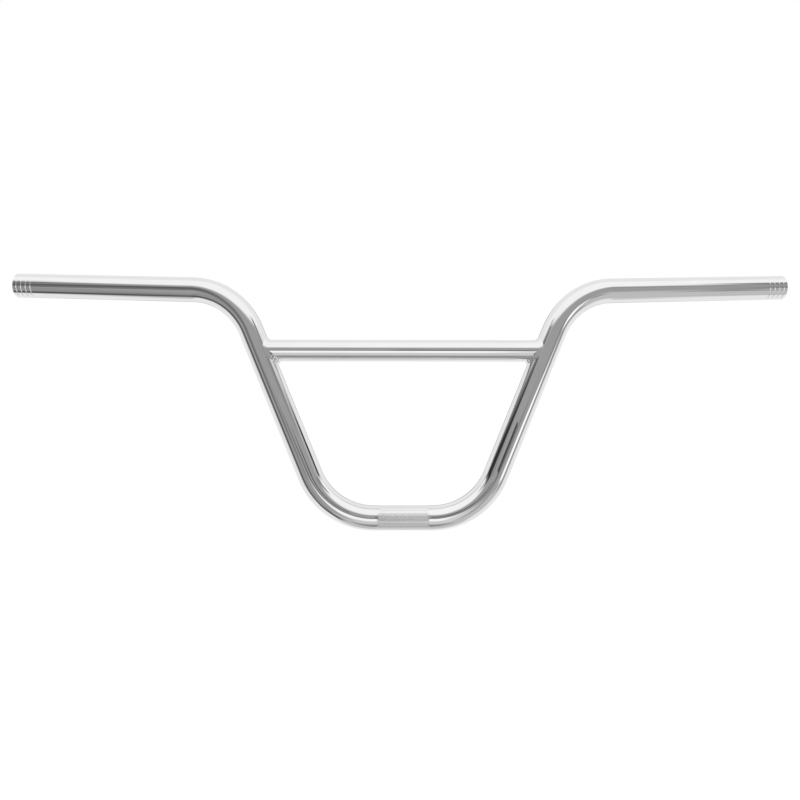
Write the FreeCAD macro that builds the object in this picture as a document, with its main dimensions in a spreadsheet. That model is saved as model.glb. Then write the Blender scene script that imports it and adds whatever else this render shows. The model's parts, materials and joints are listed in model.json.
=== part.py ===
import FreeCAD, Part
import math
import os

import Sketcher

# BMX handlebar: one bent main tube, a straight crossbar coped between its legs and a ripple-welded
# bead round each joint. Millimetres and degrees. The origin is the centre of the stem clamp, +X runs
# along the clamp to the right seen from the front, +Y goes back to the rider and +Z is up.

DIMENSIONS = {
    "bar_width": 724,
    "bar_rise": 216,
    "leg_lean": 22.5,
    "upsweep": 3,
    "backsweep": 11,
    "tube_diameter": 22.2,
    "tube_wall": 1.4,
    "clamp_straight": 52,
    "lower_bend_radius": 62,
    "upper_bend_radius": 62,
    "crossbar_height": 150.5,
    "crossbar_diameter": 19.05,
    "crossbar_wall": 1.0,
    "end_chamfer": 0.35,
    "weld_leg": 3.2,
}

# Values that follow from the dimensions. The centreline of one half is three straight runs that meet
# at two corners, each rounded to its bend radius; a bend's tangent is its length of run from the
# corner to where the arc starts. The grip's direction is a unit vector.
LAYOUT = {
    "lower_bend": ("Angle", "90 deg - dims.leg_lean * 1 deg"),
    "grip_along": ("Float", "cos(dims.upsweep) * cos(dims.backsweep)"),
    "grip_back": ("Float", "cos(dims.upsweep) * sin(dims.backsweep)"),
    "grip_up": ("Float", "sin(dims.upsweep)"),
    "grip_lift": ("Float", "layout.grip_along * sin(dims.leg_lean) + layout.grip_up * cos(dims.leg_lean)"),
    "grip_out": ("Float", "layout.grip_along * cos(dims.leg_lean) - layout.grip_up * sin(dims.leg_lean)"),
    "upper_bend": ("Angle", "acos(layout.grip_lift)"),
    "upper_twist": ("Angle", "atan2(layout.grip_out; layout.grip_back)"),
    "lower_tangent": ("Float", "dims.lower_bend_radius * tan(layout.lower_bend / 2)"),
    "upper_tangent": ("Float", "dims.upper_bend_radius * tan(layout.upper_bend / 2)"),
    "lower_corner": ("Float", "dims.clamp_straight / 2 + layout.lower_tangent"),
    "grip_run": (
        "Float",
        "(dims.bar_width / 2 - layout.lower_corner - dims.bar_rise * tan(dims.leg_lean))"
        " / (layout.grip_along - layout.grip_up * tan(dims.leg_lean))",
    ),
    "leg_run": ("Float", "(dims.bar_rise - layout.grip_run * layout.grip_up) / cos(dims.leg_lean)"),
    "grip_straight": ("Float", "layout.grip_run - layout.upper_tangent"),
    "half_leg": ("Float", "(layout.leg_run - layout.lower_tangent - layout.upper_tangent) / 2"),
    "to_mid_leg": ("Float", "layout.lower_tangent + layout.half_leg"),
    "mid_leg_along": ("Float", "layout.lower_corner + layout.to_mid_leg * sin(dims.leg_lean)"),
    "mid_leg_up": ("Float", "layout.to_mid_leg * cos(dims.leg_lean)"),
    "crossbar_reach": ("Float", "layout.lower_corner + dims.crossbar_height * tan(dims.leg_lean)"),
    "weld_stub": ("Float", "2 * (dims.tube_diameter + dims.weld_leg)"),
}

MID_LEG = "vector(layout.mid_leg_along; 0; layout.mid_leg_up)"
JOINT = "vector(layout.crossbar_reach; 0; 0)"
LEG_STUB_FOOT = (
    "vector(layout.crossbar_reach - layout.weld_stub * sin(dims.leg_lean); 0;"
    " -layout.weld_stub * cos(dims.leg_lean))"
)
ACROSS_LEG = "rotation(vector(0; 1; 0); dims.leg_lean)"
INWARD = "rotation(vector(0; 1; 0); -90)"
UPPER_BEND_PLANE = "rotation(0; dims.leg_lean - 90; -layout.upper_twist)"

doc = FreeCAD.newDocument("bmx_handlebar")

sheet = doc.addObject("Spreadsheet::Sheet", "dims")
for row, (alias, size) in enumerate(DIMENSIONS.items(), start=1):
    sheet.set(f"A{row}", alias)
    sheet.set(f"B{row}", str(size))
    sheet.setAlias(f"B{row}", alias)
doc.recompute()

layout = doc.addObject("App::VarSet", "layout")
for name, (kind, formula) in LAYOUT.items():
    layout.addProperty(f"App::Property{kind}", name, "Layout")
    layout.setExpression(name, formula)
doc.recompute()


def new_body(label):
    body = doc.addObject("PartDesign::Body", label)
    body.Label = label
    return body


def origin_plane(body, role):
    return next(plane for plane in body.Origin.OriginFeatures if plane.Role == role)


def new_sketch(body, name, role, base="vector(0; 0; 0)", turn="rotation(0; 0; 0)"):
    sketch = body.newObject("Sketcher::SketchObject", name)
    sketch.AttachmentSupport = [(origin_plane(body, role), "")]
    sketch.MapMode = "FlatFace"
    sketch.setExpression("AttachmentOffset", f"placement({base}; {turn})")
    return sketch


def bind(sketch, formula, *constraint):
    number = sketch.addConstraint(Sketcher.Constraint(*constraint))
    sketch.setExpression(f"Constraints[{number}]", formula)


def add_circle(sketch, diameter):
    circle = sketch.addGeometry(Part.Circle(FreeCAD.Vector(), FreeCAD.Vector(0, 0, 1), 10))
    sketch.addConstraint(Sketcher.Constraint("Coincident", circle, 3, -1, 1))
    bind(sketch, diameter, "Diameter", circle, 20)


def add_tube_section(sketch, diameter, wall):
    add_circle(sketch, diameter)
    add_circle(sketch, f"{diameter} - 2 * {wall}")


def add_bent_path(sketch, first_run, radius, bend, second_run):
    """A straight run along the sketch's X, an arc that turns it to the left and a second run."""
    lead, size, turn = 20, 50, math.radians(60)
    start = FreeCAD.Vector()
    bend_start = FreeCAD.Vector(lead, 0)
    centre = FreeCAD.Vector(lead, size)
    bend_end = centre + FreeCAD.Vector(size * math.sin(turn), -size * math.cos(turn))
    finish = bend_end + FreeCAD.Vector(lead * math.cos(turn), lead * math.sin(turn))
    first = sketch.addGeometry(Part.LineSegment(start, bend_start))
    circle = Part.Circle(centre, FreeCAD.Vector(0, 0, 1), size)
    arc = sketch.addGeometry(Part.ArcOfCircle(circle, -math.pi / 2, turn - math.pi / 2))
    second = sketch.addGeometry(Part.LineSegment(bend_end, finish))
    sketch.addConstraint(Sketcher.Constraint("Coincident", first, 1, -1, 1))
    sketch.addConstraint(Sketcher.Constraint("Horizontal", first))
    sketch.addConstraint(Sketcher.Constraint("Tangent", first, 2, arc, 1))
    sketch.addConstraint(Sketcher.Constraint("Tangent", arc, 2, second, 1))
    bind(sketch, first_run, "Distance", first, lead)
    bind(sketch, radius, "Radius", arc, size)
    bind(sketch, bend, "Angle", -1, 1, second, 1, turn)
    bind(sketch, second_run, "Distance", second, lead)


def add_pipe(body, name, section, path):
    pipe = body.newObject("PartDesign::AdditivePipe", name)
    pipe.Profile = section
    pipe.Spine = (path, [f"Edge{number}" for number in range(1, path.GeometryCount + 1)])
    doc.recompute()
    return pipe


def add_pocket(body, name, outline, depth):
    pocket = body.newObject("PartDesign::Pocket", name)
    pocket.Profile = outline
    pocket.setExpression("Length", depth)
    doc.recompute()
    return pocket


def add_stub(body, kind, name, diameter, length, base, turn):
    stub = body.newObject(f"PartDesign::{kind}Cylinder", f"{kind.lower()}_{name}")
    stub.AttachmentSupport = [(origin_plane(body, "XY_Plane"), "")]
    stub.MapMode = "FlatFace"
    stub.setExpression("AttachmentOffset", f"placement({base}; {turn})")
    stub.setExpression("Radius", f"{diameter} / 2")
    stub.setExpression("Height", length)
    doc.recompute()


def add_stubs(body, kind):
    """Solid stubs of a leg and of the crossbar, which meet where their axes cross."""
    add_stub(body, kind, "leg", "dims.tube_diameter", "2 * layout.weld_stub", LEG_STUB_FOOT, ACROSS_LEG)
    add_stub(body, kind, "crossbar", "dims.crossbar_diameter", "layout.weld_stub", JOINT, INWARD)


def mirror_body(body, name):
    mirrored = body.newObject("PartDesign::Mirrored", name)
    mirrored.TransformMode = "Whole shape"
    mirrored.MirrorPlane = (origin_plane(body, "YZ_Plane"), [""])
    body.Tip = mirrored
    doc.recompute()


main_tube = new_body("main_tube")
clamp_section = new_sketch(main_tube, "clamp_section", "YZ_Plane")
add_tube_section(clamp_section, "dims.tube_diameter", "dims.tube_wall")
lower_path = new_sketch(main_tube, "lower_path", "XZ_Plane")
add_bent_path(
    lower_path, "dims.clamp_straight / 2", "dims.lower_bend_radius", "layout.lower_bend", "layout.half_leg"
)
doc.recompute()
add_pipe(main_tube, "lower_half", clamp_section, lower_path)
leg_section = new_sketch(main_tube, "leg_section", "XY_Plane", MID_LEG, ACROSS_LEG)
add_tube_section(leg_section, "dims.tube_diameter", "dims.tube_wall")
upper_path = new_sketch(main_tube, "upper_path", "XY_Plane", MID_LEG, UPPER_BEND_PLANE)
add_bent_path(
    upper_path, "layout.half_leg", "dims.upper_bend_radius", "layout.upper_bend", "layout.grip_straight"
)
doc.recompute()
upper_half = add_pipe(main_tube, "upper_half", leg_section, upper_path)

# The open ends are deburred inside and out.
bar_end = FreeCAD.Vector(sheet.bar_width / 2, layout.grip_run * layout.grip_back, sheet.bar_rise)
end_rims = [
    f"Edge{number}"
    for number, edge in enumerate(upper_half.Shape.Edges, start=1)
    if isinstance(edge.Curve, Part.Circle) and edge.Curve.Center.isEqual(bar_end, 1e-6)
]
deburr = main_tube.newObject("PartDesign::Chamfer", "deburr")
deburr.Base = (upper_half, end_rims)
deburr.setExpression("Size", "dims.end_chamfer")
doc.recompute()

mirror_body(main_tube, "both_halves")

# The crossbar is modelled about its own middle: half a tube, coped to the leg, then mirrored.
crossbar = new_body("crossbar")
crossbar.setExpression("Placement.Base.z", "dims.crossbar_height")
crossbar_section = new_sketch(crossbar, "crossbar_section", "YZ_Plane")
add_tube_section(crossbar_section, "dims.crossbar_diameter", "dims.crossbar_wall")
half_crossbar = crossbar.newObject("PartDesign::Pad", "half_crossbar")
half_crossbar.Profile = crossbar_section
half_crossbar.setExpression("Length", "layout.crossbar_reach")
doc.recompute()
leg_outline = new_sketch(crossbar, "leg_outline", "XY_Plane", JOINT, ACROSS_LEG)
add_circle(leg_outline, "dims.tube_diameter")
doc.recompute()
cope = add_pocket(crossbar, "cope", leg_outline, "4 * dims.tube_diameter")
cope.SideType = "Symmetric"
doc.recompute()
mirror_body(crossbar, "both_ends")

# Each weld bead is the fillet round the saddle where the crossbar's outside meets the leg's: stubs of
# the two tubes are joined, their common edge is filled and the stubs are taken away again.
weld_beads = new_body("weld_beads")
weld_beads.AllowCompound = True
weld_beads.setExpression("Placement.Base.z", "dims.crossbar_height")
add_stubs(weld_beads, "Additive")
joined = weld_beads.Tip
saddle = [
    f"Edge{number}"
    for number, edge in enumerate(joined.Shape.Edges, start=1)
    if not isinstance(edge.Curve, (Part.Circle, Part.Line))
]
bead = weld_beads.newObject("PartDesign::Chamfer", "bead")
bead.Base = (joined, saddle)
bead.setExpression("Size", "dims.weld_leg")
doc.recompute()
add_stubs(weld_beads, "Subtractive")
mirror_body(weld_beads, "both_beads")

pieces = [main_tube, crossbar, weld_beads]
failed = [item.Name for item in doc.Objects if {"Invalid", "Error"} & set(item.State)]
broken = [piece.Label for piece in pieces if piece.Shape.isNull() or not piece.Shape.isValid()]
if failed or broken:
    raise RuntimeError(f"failed objects {failed}, broken shapes {broken}")

os.makedirs("parts", exist_ok=True)
for piece in pieces:
    piece.Shape.exportStep(f"parts/{piece.Label}.step")
    print(f"{piece.Label}: solids {len(piece.Shape.Solids)}, volume {piece.Shape.Volume:.1f} mm3")
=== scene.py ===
"""A chromed BMX handlebar: one bent tube, a crossbar and two rippled weld beads."""

import json
from math import atan2, cos, hypot, pi, radians, sin, sqrt, tan

import bpy
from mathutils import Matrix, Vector

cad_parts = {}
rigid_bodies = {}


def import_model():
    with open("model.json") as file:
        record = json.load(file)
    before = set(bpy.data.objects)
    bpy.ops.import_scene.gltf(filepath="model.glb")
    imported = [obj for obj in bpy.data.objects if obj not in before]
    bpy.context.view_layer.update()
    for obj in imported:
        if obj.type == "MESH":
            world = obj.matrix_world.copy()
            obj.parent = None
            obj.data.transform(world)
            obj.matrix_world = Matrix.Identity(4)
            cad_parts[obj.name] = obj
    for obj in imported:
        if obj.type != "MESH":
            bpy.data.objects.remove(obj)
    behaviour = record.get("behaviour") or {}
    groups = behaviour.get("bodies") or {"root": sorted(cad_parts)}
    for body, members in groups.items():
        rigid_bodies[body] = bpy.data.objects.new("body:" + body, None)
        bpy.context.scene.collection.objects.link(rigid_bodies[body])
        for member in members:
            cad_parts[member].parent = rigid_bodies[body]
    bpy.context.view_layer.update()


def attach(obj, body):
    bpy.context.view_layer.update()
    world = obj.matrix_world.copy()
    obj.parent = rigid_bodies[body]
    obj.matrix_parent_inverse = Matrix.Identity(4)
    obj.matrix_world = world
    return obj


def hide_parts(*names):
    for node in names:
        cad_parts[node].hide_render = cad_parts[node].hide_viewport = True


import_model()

# sizes of the bar, in metres and radians
TUBE_RADIUS = 0.0111
TUBE_WALL = 0.0014
CLAMP_HALF = 0.026
LEG_LEAN = radians(22.5)
BEND_RADIUS = 0.062
UPSWEEP = radians(3)
BACKSWEEP = radians(11)
BAR_HALF = 0.362
BAR_RISE = 0.216
END_CHAMFER = 0.00035
CROSSBAR_HEIGHT = 0.1505
CROSSBAR_RADIUS = 0.009525
CROSSBAR_WALL = 0.001

# knurl on the clamp, and rings cut near each end of the bar
KNURL_HALF = 0.023
KNURL_DEPTH = 0.00016
RING_COUNT = 4
RING_FIRST = 0.004
RING_PITCH = 0.00475
RING_WIDTH = 0.001
RING_DEPTH = 0.0002

# weld beads: a hollow face on top, a full and rippled one in the lower corner
BEAD_LEG = 0.0032
BEAD_SINK = 0.00012
BEAD_ROOT = 0.0006
HOLLOW_FACE = 0.5
FULL_FACE = 1.15
BEAD_RIPPLES = 26
RIPPLE_HEIGHT = 0.0004
RIPPLE_MEAN = 0.6
RIPPLE_SWEEP = 0.9
RIPPLE_WANDER = 0.5
WANDER_WAVES = 5

# fineness of the meshes
AROUND = 120
CUTTER_SIDES = 240
BEND_STEPS = 40
STRAIGHT_STEPS = 6
BORE_STEPS = 4
CROSSBAR_STEPS = 12
RIM_ROWS = 2
KNURL_ROWS = 40
KNURL_STEPS = 4
RIPPLE_STATIONS = 10
FACE_STEPS = 12
ROOT_STEPS = 4
SAME_PLACE = 1e-5
DOUBLE_GAP = 1e-6

# edges that turn by more than this stay sharp
TUBE_EDGE = radians(15)
CROSSBAR_EDGE = radians(30)
BEAD_EDGE = radians(50)

# directions and bends of the right half
ALONG_X = Vector((1, 0, 0))
LEG = Vector((sin(LEG_LEAN), 0, cos(LEG_LEAN)))
GRIP = Vector((cos(UPSWEEP) * cos(BACKSWEEP), cos(UPSWEEP) * sin(BACKSWEEP), sin(UPSWEEP)))
LOWER_TURN = pi / 2 - LEG_LEAN
LOWER_AXIS = Vector((0, 1, 0))
LOWER_CENTRE = Vector((CLAMP_HALF, 0, BEND_RADIUS))
LEG_FOOT = LOWER_CENTRE + BEND_RADIUS * Vector((sin(LOWER_TURN), 0, -cos(LOWER_TURN)))
UPPER_TURN = LEG.angle(GRIP)
UPPER_AXIS = LEG.cross(GRIP).normalized()
UPPER_TANGENT = BEND_RADIUS * tan(UPPER_TURN / 2)

# the lines of leg and grip cross at a corner, which the upper bend rounds off
ACROSS = Vector((BAR_HALF, 0, BAR_RISE)) - LEG_FOOT
LEG_REACH = (ACROSS.z * GRIP.x - ACROSS.x * GRIP.z) / (LEG.z * GRIP.x - LEG.x * GRIP.z)
CORNER = LEG_FOOT + LEG_REACH * LEG
BAR_END = Vector((BAR_HALF, (BAR_HALF - CORNER.x) * tan(BACKSWEEP), BAR_RISE))
LEG_LENGTH = LEG_REACH - UPPER_TANGENT
GRIP_LENGTH = (BAR_END - CORNER).length - UPPER_TANGENT
LEG_HEAD = LEG_FOOT + LEG_LENGTH * LEG
UPPER_CENTRE = LEG_HEAD + BEND_RADIUS * UPPER_AXIS.cross(LEG)

# places worked out from the sizes
KNURL_ROW = KNURL_HALF / KNURL_ROWS
RING_PLACES = [RING_FIRST + RING_PITCH * ring for ring in reversed(range(RING_COUNT))]
RINGS_START = RING_PLACES[0] + RING_WIDTH
CROSSBAR_REACH = LEG_FOOT.x + (CROSSBAR_HEIGHT - LEG_FOOT.z) * tan(LEG_LEAN)


# modelling helpers
def start_clear():
    if bpy.context.object and bpy.context.object.mode != "OBJECT":
        bpy.ops.object.mode_set(mode="OBJECT")
    bpy.ops.object.select_all(action="DESELECT")


def take(piece):
    """Selects one piece alone and makes it the active one."""
    start_clear()
    piece.select_set(True)
    bpy.context.view_layer.objects.active = piece


def settle(piece):
    """Puts a piece's place into its mesh, so that its object sits at the origin."""
    take(piece)
    bpy.ops.object.transform_apply(location=True, rotation=True, scale=True)


def edit(piece):
    take(piece)
    bpy.ops.object.mode_set(mode="EDIT")


def add_modifier(piece, kind, **settings):
    """Adds a modifier, sets it up and applies it."""
    take(piece)
    modifier = piece.modifiers.new(kind.lower(), kind)
    for name, value in settings.items():
        setattr(modifier, name, value)
    bpy.ops.object.modifier_apply(modifier=modifier.name)


def turn_outward(piece):
    """Points all faces of a piece outwards."""
    edit(piece)
    bpy.ops.mesh.select_all(action="SELECT")
    bpy.ops.mesh.normals_make_consistent(inside=False)
    bpy.ops.object.mode_set(mode="OBJECT")


def shade_smooth(piece, sharp_angle):
    take(piece)
    bpy.ops.object.shade_smooth_by_angle(angle=sharp_angle)


def extrude(step):
    bpy.ops.mesh.extrude_edges_move(TRANSFORM_OT_translate={"value": step})


def extrude_run(stretch, rows):
    """Draws the selected ring along a straight stretch, in equal rows."""
    for _ in range(rows):
        extrude(stretch / rows)


def spin(centre, axis, angle, steps):
    bpy.ops.mesh.spin(steps=steps, angle=-angle, center=centre, axis=axis)


def resize(factor, centre):
    bpy.ops.transform.resize(value=(factor, factor, factor), center_override=centre)


def new_ring(name, radius, count, facing):
    """An open ring of edges round the origin, facing along an axis."""
    start_clear()
    turn = Vector((0, 0, 1)).rotation_difference(facing).to_euler()
    bpy.ops.mesh.primitive_circle_add(vertices=count, radius=radius, rotation=turn)
    ring = bpy.context.object
    ring.name = ring.data.name = name
    settle(ring)
    return ring


# main tube
def draw_cut_rings():
    """The last stretch of the grip, with shallow V grooves turned into it."""
    to_end = RINGS_START
    floor = (TUBE_RADIUS - RING_DEPTH) / TUBE_RADIUS
    for place in RING_PLACES:
        for along, factor in ((-RING_WIDTH / 2, 1), (0, floor), (RING_WIDTH / 2, 1 / floor)):
            extrude(GRIP * (to_end - place + along))
            to_end = place - along
            resize(factor, BAR_END - GRIP * to_end)
    extrude(GRIP * (to_end - END_CHAMFER))


def draw_outer_wall():
    """Clamp, lower bend, leg, upper bend and grip of one half, as one swept ring."""
    extrude_run(KNURL_HALF * ALONG_X, KNURL_ROWS)
    extrude((CLAMP_HALF - KNURL_HALF) * ALONG_X)
    spin(LOWER_CENTRE, LOWER_AXIS, -LOWER_TURN, BEND_STEPS)
    extrude_run(LEG_LENGTH * LEG, STRAIGHT_STEPS)
    spin(UPPER_CENTRE, UPPER_AXIS, UPPER_TURN, BEND_STEPS)
    extrude_run((GRIP_LENGTH - RINGS_START) * GRIP, STRAIGHT_STEPS)
    draw_cut_rings()
    extrude(END_CHAMFER * GRIP)
    resize((TUBE_RADIUS - END_CHAMFER) / TUBE_RADIUS, BAR_END)


def draw_inner_wall():
    """Across the end rim and back along the bore to the middle of the bar."""
    bore = TUBE_RADIUS - TUBE_WALL
    extrude((0, 0, 0))
    resize((bore + END_CHAMFER) / (TUBE_RADIUS - END_CHAMFER), BAR_END)
    extrude(-END_CHAMFER * GRIP)
    resize(bore / (bore + END_CHAMFER), BAR_END - END_CHAMFER * GRIP)
    extrude_run((END_CHAMFER - GRIP_LENGTH) * GRIP, BORE_STEPS)
    spin(UPPER_CENTRE, UPPER_AXIS, -UPPER_TURN, BEND_STEPS // 2)
    extrude_run(-LEG_LENGTH * LEG, BORE_STEPS)
    spin(LOWER_CENTRE, LOWER_AXIS, LOWER_TURN, BEND_STEPS // 2)
    extrude(-CLAMP_HALF * ALONG_X)


def knurl_level(corner):
    """How far a point of the clamp is pressed in: 2 in a groove, 1 on a flank, 0 on a peak.

    Points off the knurl stay at 0.
    """
    out = hypot(corner.co.y, corner.co.z)
    if abs(corner.co.x) > KNURL_HALF - KNURL_ROW / 2 or abs(out - TUBE_RADIUS) > SAME_PLACE:
        return 0
    along = round(corner.co.x / KNURL_ROW)
    about = round(atan2(corner.co.y, corner.co.z) * AROUND / (2 * pi))
    if (along + about) % KNURL_STEPS == 0 or (along - about) % KNURL_STEPS == 0:
        return 2
    return (along + about) % 2


def cut_knurl(tube):
    """Presses two sets of slanting grooves into the clamp, so that small pyramids stand between them."""
    levels = [knurl_level(corner) for corner in tube.data.vertices]
    for level in (1, 2):
        bpy.ops.object.mode_set(mode="OBJECT")
        for part in (tube.data.vertices, tube.data.edges, tube.data.polygons):
            for element in part:
                element.select = False
        for corner in tube.data.vertices:
            corner.select = levels[corner.index] >= level
        bpy.ops.object.mode_set(mode="EDIT")
        bpy.ops.mesh.select_mode(type="VERT")
        bpy.ops.transform.shrink_fatten(value=-KNURL_DEPTH / 2)
    bpy.ops.mesh.select_more()
    bpy.ops.mesh.quads_convert_to_tris(quad_method="SHORTEST_DIAGONAL")
    bpy.ops.object.mode_set(mode="OBJECT")


def make_main_tube():
    """One half swept out along the skin and back along the bore, then mirrored and knurled."""
    tube = new_ring("main_tube_chrome", TUBE_RADIUS, AROUND, ALONG_X)
    edit(tube)
    bpy.ops.mesh.select_mode(type="EDGE")
    bpy.ops.mesh.select_all(action="SELECT")
    draw_outer_wall()
    bpy.ops.object.mode_set(mode="OBJECT")
    bore_start = len(tube.data.polygons) + AROUND * RIM_ROWS
    bpy.ops.object.mode_set(mode="EDIT")
    draw_inner_wall()
    bpy.ops.object.mode_set(mode="OBJECT")
    for face in tube.data.polygons:
        face.material_index = 1 if face.index >= bore_start else 0
    add_modifier(tube, "MIRROR", use_axis=(True, False, False), use_clip=True, merge_threshold=SAME_PLACE)
    edit(tube)
    bpy.ops.mesh.select_all(action="SELECT")
    bpy.ops.mesh.remove_doubles(threshold=DOUBLE_GAP)
    turn_outward(tube)
    cut_knurl(tube)
    shade_smooth(tube, TUBE_EDGE)
    return tube


# crossbar
def leg_cutter(side):
    """A solid rod where a leg runs, to cope the crossbar against."""
    leg = Vector((side * LEG.x, 0, LEG.z))
    rod = new_ring("leg_cutter", TUBE_RADIUS, CUTTER_SIDES, leg)
    edit(rod)
    bpy.ops.mesh.select_all(action="SELECT")
    bpy.ops.transform.translate(value=(side * LEG_FOOT.x, 0, LEG_FOOT.z))
    bpy.ops.mesh.edge_face_add()
    bpy.ops.mesh.extrude_region_move(TRANSFORM_OT_translate={"value": LEG_LENGTH * leg})
    turn_outward(rod)
    return rod


def make_crossbar():
    """A thin tube from leg to leg, with both ends coped to the round of the legs."""
    bar = new_ring("crossbar_chrome", CROSSBAR_RADIUS, AROUND, ALONG_X)
    edit(bar)
    bpy.ops.mesh.select_all(action="SELECT")
    bpy.ops.transform.translate(value=(-CROSSBAR_REACH, 0, CROSSBAR_HEIGHT))
    extrude_run(2 * CROSSBAR_REACH * ALONG_X, CROSSBAR_STEPS)
    turn_outward(bar)
    add_modifier(bar, "SOLIDIFY", thickness=CROSSBAR_WALL, offset=-1)
    for side in (-1, 1):
        rod = leg_cutter(side)
        add_modifier(bar, "BOOLEAN", operation="DIFFERENCE", solver="EXACT", object=rod)
        bpy.data.objects.remove(rod)
    shade_smooth(bar, CROSSBAR_EDGE)
    return bar


# weld beads
def saddle_station(turn):
    """The corner between right leg and crossbar at one turn round the crossbar.

    Returns the corner and the way off each tube there.
    """
    y, up = CROSSBAR_RADIUS * cos(turn), CROSSBAR_RADIUS * sin(turn)
    height = CROSSBAR_HEIGHT + up
    depth = -sqrt(TUBE_RADIUS ** 2 - y ** 2)
    x = LEG_FOOT.x + (depth + (height - LEG_FOOT.z) * sin(LEG_LEAN)) / cos(LEG_LEAN)
    off_crossbar = Vector((0, cos(turn), sin(turn)))
    off_leg = Vector((depth * cos(LEG_LEAN), y, -depth * sin(LEG_LEAN))) / TUBE_RADIUS
    return Vector((x, y, height)), off_crossbar, off_leg


def toe_on_crossbar(corner, off_crossbar, off_leg):
    """Where the bead's face runs out on the crossbar, just under its skin."""
    along = (off_leg - off_leg.project(off_crossbar)).normalized()
    toe = corner + BEAD_LEG * along
    axis = Vector((toe.x, 0, CROSSBAR_HEIGHT))
    return axis + (toe - axis).normalized() * (CROSSBAR_RADIUS - BEAD_SINK)


def toe_on_leg(corner, off_crossbar, off_leg):
    """Where the bead's face runs out on the leg, just under its skin."""
    along = (off_crossbar - off_crossbar.project(off_leg)).normalized()
    toe = corner + BEAD_LEG * along
    axis = LEG_FOOT + (toe - LEG_FOOT).dot(LEG) * LEG
    return axis + (toe - axis).normalized() * (TUBE_RADIUS - BEAD_SINK)


def bead_point(turn, step):
    """A point of the bead: a turn round the crossbar, then a step round the bead's own section."""
    corner, off_crossbar, off_leg = saddle_station(turn)
    outward = (off_crossbar + off_leg).normalized()
    start = toe_on_crossbar(corner, off_crossbar, off_leg)
    end = toe_on_leg(corner, off_crossbar, off_leg)
    under = abs(step) - FACE_STEPS // 2
    if under > 0:
        root = corner - outward * BEAD_ROOT
        toe = end if step > 0 else start
        return toe.lerp(root, under / (ROOT_STEPS // 2))
    across = step / FACE_STEPS + 0.5
    low = max(0, -sin(turn))
    middle = corner.lerp((start + end) / 2, HOLLOW_FACE + (FULL_FACE - HOLLOW_FACE) * low)
    face = start * (1 - across) ** 2 + middle * 2 * across * (1 - across) + end * across ** 2
    wander = RIPPLE_WANDER * sin(WANDER_WAVES * turn)
    phase = BEAD_RIPPLES / 2 * turn + RIPPLE_SWEEP * (2 * across - 1) ** 2 + wander
    ripple = RIPPLE_HEIGHT * low * (abs(sin(phase)) - RIPPLE_MEAN)
    return face + outward * ripple * sin(pi * across)


def make_weld_beads():
    """A ring laid into the corner round one joint, rippled on its lower side, and its mirror image."""
    start_clear()
    steps = FACE_STEPS + ROOT_STEPS
    ring, section = 1, 0.25
    bpy.ops.mesh.primitive_torus_add(
        major_segments=BEAD_RIPPLES * RIPPLE_STATIONS, minor_segments=steps,
        major_radius=ring, minor_radius=section)
    beads = bpy.context.object
    beads.name = beads.data.name = "weld_beads_chrome"
    for corner in beads.data.vertices:
        turn = atan2(corner.co.y, corner.co.x)
        round_section = atan2(corner.co.z, hypot(corner.co.x, corner.co.y) - ring)
        corner.co = bead_point(turn, round(round_section * steps / (2 * pi)))
    add_modifier(beads, "MIRROR", use_axis=(True, False, False))
    turn_outward(beads)
    shade_smooth(beads, BEAD_EDGE)
    return beads


# materials
CHROME_DARK = (0.85, 0.85, 0.85, 1)
CHROME_PALE = (0.88, 0.88, 0.88, 1)
CHROME_ROUGHNESS = 0.02
WELD_ROUGHNESS = 0.06
HAZE_ROUGHNESS = 0.02
WIPE_ROUGHNESS = 0.02
KNURL_ROUGHNESS = 0.16
KNURL_FADE = 0.0002
BORE_DARK = (0.33, 0.33, 0.34, 1)
BORE_PALE = (0.46, 0.46, 0.47, 1)
BORE_ROUGHNESS = 0.38
BORE_GRAIN = 0.2
WHITE = (1, 1, 1, 1)


class Wire:
    """A value in a node tree; sums of wires add the Math nodes that work them out."""

    def __init__(self, tree, socket):
        self.tree, self.socket = tree, socket

    def add(self, kind, settings=None, **sockets):
        """Adds any other node: its type, its settings, then the values or links of its sockets.

        A socket goes by its name, or by its place as i0, i1 and so on.
        """
        node = self.tree.nodes.new(kind)
        for name, value in (settings or {}).items():
            if name == "stops":
                while len(node.color_ramp.elements) < len(value):
                    node.color_ramp.elements.new(0.5)
                for element, (place, colour) in zip(node.color_ramp.elements, value):
                    element.position, element.color = place, colour
            else:
                setattr(node, name, value)
        for name, value in sockets.items():
            key = int(name[1:]) if name[0] == "i" and name[1:].isdigit() else name
            if isinstance(value, Wire):
                self.tree.links.new(value.socket, node.inputs[key])
            else:
                node.inputs[key].default_value = value
        return Wire(self.tree, node.outputs[0])

    def maths(self, operation, *values):
        return self.add("ShaderNodeMath", {"operation": operation},
                        **{f"i{place}": value for place, value in enumerate(values)})

    def __add__(self, other):
        return self.maths("ADD", self, other)

    def __radd__(self, other):
        return self.maths("ADD", other, self)

    def __sub__(self, other):
        return self.maths("SUBTRACT", self, other)

    def __rsub__(self, other):
        return self.maths("SUBTRACT", other, self)

    def __mul__(self, other):
        return self.maths("MULTIPLY", self, other)

    def __rmul__(self, other):
        return self.maths("MULTIPLY", other, self)

    def step(self, low, high, start=0.0, end=1.0):
        """A smooth change from start to end as the value goes from low to high."""
        return self.add("ShaderNodeMapRange", {"interpolation_type": "SMOOTHSTEP"}, i0=self,
                        i1=low, i2=high, i3=start, i4=end)


def new_finish(name):
    """An empty metal material with its shader, and a wire of the object's own coordinates."""
    material = bpy.data.materials.new(name)
    material.use_nodes = True
    tree = material.node_tree
    shader = tree.nodes["Principled BSDF"]
    shader.inputs["Metallic"].default_value = 1.0
    place = Wire(tree, tree.nodes.new("ShaderNodeTexCoord").outputs["Object"])
    return material, shader, place


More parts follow.
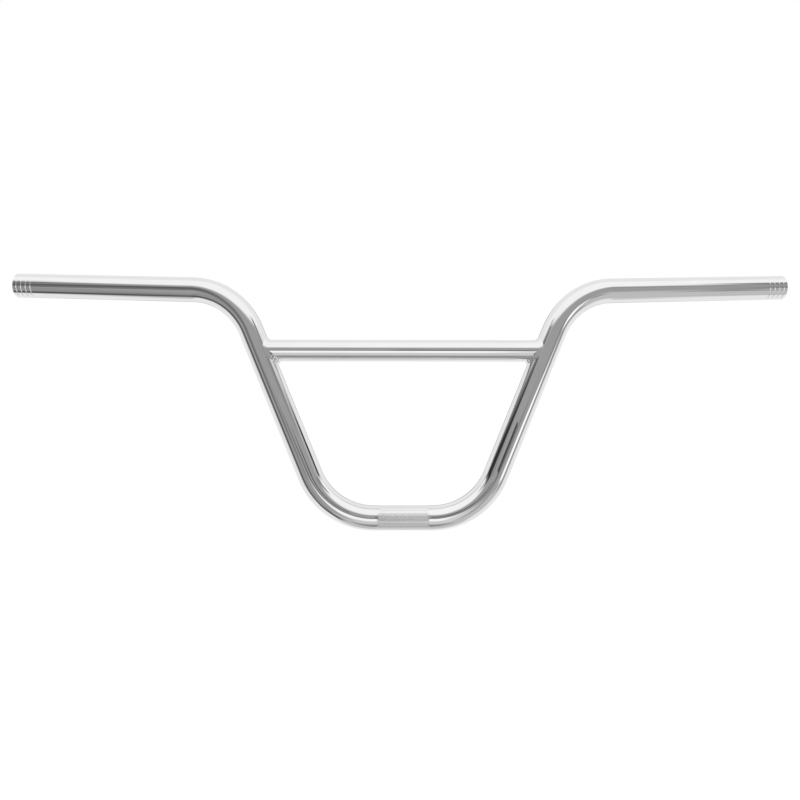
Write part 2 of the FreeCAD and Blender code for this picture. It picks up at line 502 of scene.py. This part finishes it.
def plug(value, shader, name):
    value.tree.links.new(value.socket, shader.inputs[name])


def chrome_finish(name, knurled=False, base_roughness=CHROME_ROUGHNESS):
    """Bright plate with a faint polishing haze, thin wipe marks and a satin knurl."""
    material, shader, place = new_finish(name)
    haze = place.add("ShaderNodeTexNoise", Vector=place, Scale=38.0, Detail=5.0, Roughness=0.6)
    streaked = place.add("ShaderNodeMapping", Vector=place, Scale=(60.0, 700.0, 700.0))
    wipe = place.add("ShaderNodeTexNoise", Vector=streaked, Scale=1.0, Detail=3.0, Roughness=0.55)
    roughness = base_roughness + haze.step(0.45, 0.75) * HAZE_ROUGHNESS
    roughness = roughness + wipe.step(0.55, 0.8) * WIPE_ROUGHNESS
    if knurled:
        parts = place.add("ShaderNodeSeparateXYZ", Vector=place)
        along = parts.maths("ABSOLUTE", parts)
        knurl = along.step(KNURL_HALF - KNURL_FADE, KNURL_HALF + KNURL_FADE, 1.0, 0.0)
        roughness = roughness + knurl * KNURL_ROUGHNESS
    plug(roughness, shader, "Roughness")
    tint = place.add("ShaderNodeValToRGB", {"stops": ((0.35, CHROME_DARK), (0.7, CHROME_PALE))}, Fac=haze)
    plug(tint, shader, "Base Color")
    return material


def bore_finish():
    """Dull grey steel inside the open tube."""
    material, shader, place = new_finish("bore_steel")
    grain = place.add("ShaderNodeTexNoise", Vector=place, Scale=300.0, Detail=4.0)
    plug(BORE_ROUGHNESS + grain * BORE_GRAIN, shader, "Roughness")
    tint = place.add("ShaderNodeValToRGB", {"stops": ((0.3, BORE_DARK), (0.75, BORE_PALE))}, Fac=grain)
    plug(tint, shader, "Base Color")
    return material


# studio
CHROME_SHARE = 0.87
SCREEN_GAMMA = 2.2
DEGREES = 180 / pi
ROOM_TONE = 152

# Soft-edged areas of the studio, each over the ones before it: bearings from and to, heights from and to,
# the softness of both edges, all in degrees, and the tone that bright plate shows, out of 255.
# Bearings run from the camera side to the right, and heights from the horizon.
ROOM = (
    ("ground", None, None, None, -45, 0, 24, 188),
    ("ground_front", -45, 50, None, -62, 20, 12, 138),
    ("right_low", 37, 100, -62, -14, 8, 10, 186),
    ("right_grip_side", 43, 52, -26, 8, 6, 10, 128),
    ("left_low", -100, -50, -64, -44, 14, 8, 115),
    ("left_grip_low", -62, -43, -46, -16, 8, 8, 140),
    ("left_edge", -82, -66, -64, -8, 8, 8, 78),
    ("left_post", -48, -31, -13, -3, 8, 6, 110),
    ("left_grip_side", -50, -28, -3, 14, 10, 8, 92),
    ("front_low", -18, 10, -54, -30, 8, 8, 200),
    ("front_strip", -18, 10, -30, -8, 8, 8, 245),
    ("front_fill", 9, 24, -50, -18, 6, 10, 205),
    ("horizon_line", -20, 22, -6, -1, 10, 4, 110),
    ("right_window", 47, 68, -20, -11, 8, 4, 254),
    ("right_post", 70, 82, -30, -10, 6, 8, 130),
    ("right_line", 33, 48, 19, 28, 6, 6, 130),
    ("right_up", 48, 68, 18, 26, 8, 6, 172),
    ("ceiling", None, None, 28, None, 0, 15, 242),
)
# The backdrop, measured both ways from the camera side.
BACKDROP = (
    ("sweep", 92, None, -60, None, 14, 8, 228),
    ("far_room", 160, None, -14, 24, 16, 8, 150),
)
# Gaps and dark edges between the room and the ceiling.
EDGES = (
    ("left_gap", -66, -46, 22, 39, 8, 6, 190),
    ("right_gap", 45, 58, 22, 38, 4, 6, 125),
    ("top_left_grey", -88, -40, 17, 30, 12, 4, 112),
    ("top_left_dark", -80, -45, 19, 26, 10, 4, 50),
    ("top_right_dark", 73, 91, 18, 27, 8, 4, 35),
)

# floor, dark card and camera
FLOOR_HEIGHT = -0.3
FLOOR_SIZE = 8
FLOOR_PAINT = 0.8
FLOOR_GLOW = 0.4
CARD_PLACE = (0.135, -0.95, 0.104)
CARD_TURN = (radians(90), radians(24), 0)
CARD_SIZE = (0.296, 0.096, 1)
CARD_PAINT = 0.1
CAMERA_PLACE = (-0.0177, -0.9082, 0.0528)
CAMERA_TURN = (radians(93.34), 0, radians(-0.94))
CAMERA_SENSOR = 36
CAMERA_LENS = 45.38
CAMERA_NEAR = 0.01


def light_level(tone):
    """The light that bright plate mirrors as a tone out of 255."""
    return (tone / 255) ** SCREEN_GAMMA / CHROME_SHARE


def soft_area(bearing, height, area):
    """1 inside an area of the studio, falling softly to 0 at its edges."""
    _, left, right, low, high, soft_bearing, soft_height, _ = area
    edges = ((bearing, left, soft_bearing, 0.0, 1.0),
             (bearing, right, soft_bearing, 1.0, 0.0),
             (height, low, soft_height, 0.0, 1.0),
             (height, high, soft_height, 1.0, 0.0))
    mask = None
    for value, edge, soft, before, after in edges:
        if edge is not None:
            fade = value.step(edge - soft / 2, edge + soft / 2, before, after)
            mask = fade if mask is None else mask * fade
    return mask


def make_studio():
    """White ceiling and back, a grey room in front, and plain white for what the camera sees."""
    world = bpy.data.worlds.new("studio")
    bpy.context.scene.world = world
    world.use_nodes = True
    tree = world.node_tree
    tree.nodes.clear()
    coordinates = tree.nodes.new("ShaderNodeTexCoord")
    axes = tree.nodes.new("ShaderNodeSeparateXYZ")
    tree.links.new(coordinates.outputs["Generated"], axes.inputs[0])
    x, y, z = (Wire(tree, axes.outputs[place]) for place in range(3))
    height = z.maths("ARCSINE", z) * DEGREES
    bearing = x.maths("ARCTAN2", x, 0 - y) * DEGREES
    either_way = bearing.maths("ABSOLUTE", bearing)
    light = light_level(ROOM_TONE)
    for way, areas in ((bearing, ROOM), (either_way, BACKDROP), (bearing, EDGES)):
        for area in areas:
            light = light + soft_area(way, height, area) * (light_level(area[-1]) - light)
    path = tree.nodes.new("ShaderNodeLightPath")
    seen = Wire(tree, path.outputs["Is Camera Ray"])
    back = seen.add("ShaderNodeBackground", Color=WHITE, Strength=light + seen * (1 - light))
    out = tree.nodes.new("ShaderNodeOutputWorld")
    tree.links.new(back.socket, out.inputs["Surface"])


def glow_material(name, paint, glow):
    """Plain grey paint, with a white glow of its own only for what the camera sees."""
    material = bpy.data.materials.new(name)
    material.use_nodes = True
    tree = material.node_tree
    tree.nodes.clear()
    path = tree.nodes.new("ShaderNodeLightPath")
    seen = Wire(tree, path.outputs["Is Camera Ray"])
    matt = seen.add("ShaderNodeBsdfDiffuse", Color=(paint, paint, paint, 1))
    bright = seen.add("ShaderNodeEmission", Color=WHITE, Strength=seen * glow)
    both = seen.add("ShaderNodeAddShader", i0=matt, i1=bright)
    out = tree.nodes.new("ShaderNodeOutputMaterial")
    tree.links.new(both.socket, out.inputs["Surface"])
    return material


def make_floor():
    start_clear()
    bpy.ops.mesh.primitive_plane_add(size=FLOOR_SIZE, location=(0, 0, FLOOR_HEIGHT))
    floor = bpy.context.object
    floor.name = "floor"
    settle(floor)
    floor.data.materials.append(glow_material("pale_floor", FLOOR_PAINT, FLOOR_GLOW))
    floor.visible_glossy = False


def make_dark_card():
    """A slanted dark card close to the camera, which draws the dark streaks low on the legs."""
    start_clear()
    bpy.ops.mesh.primitive_plane_add(size=1, location=CARD_PLACE, rotation=CARD_TURN)
    card = bpy.context.object
    card.name = "dark_card"
    card.scale = CARD_SIZE
    settle(card)
    card.data.materials.append(glow_material("dark_card", CARD_PAINT, 0.0))
    card.visible_camera = False
    card.visible_diffuse = False
    card.visible_shadow = False


def make_camera():
    start_clear()
    bpy.ops.object.camera_add(location=CAMERA_PLACE, rotation=CAMERA_TURN)
    camera = bpy.context.object
    camera.data.sensor_width = CAMERA_SENSOR
    camera.data.lens = CAMERA_LENS
    camera.data.clip_start = CAMERA_NEAR
    bpy.context.scene.camera = camera


# the whole bar in its studio
make_camera()
make_floor()
make_studio()
make_dark_card()
bpy.context.scene.view_settings.view_transform = "Standard"

tube = make_main_tube()
tube.data.materials.append(chrome_finish("chrome_tube", knurled=True))
tube.data.materials.append(bore_finish())
crossbar = make_crossbar()
crossbar.data.materials.clear()
crossbar.data.materials.append(chrome_finish("chrome_crossbar"))
beads = make_weld_beads()
beads.data.materials.append(chrome_finish("chrome_weld", base_roughness=WELD_ROUGHNESS))

for piece, node, slot in ((tube, "main_tube", "main_tube"), (crossbar, "crossbar", "crossbar"),
                          (beads, "weld_beads", "weld")):
    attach(piece, "root")
    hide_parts(node)
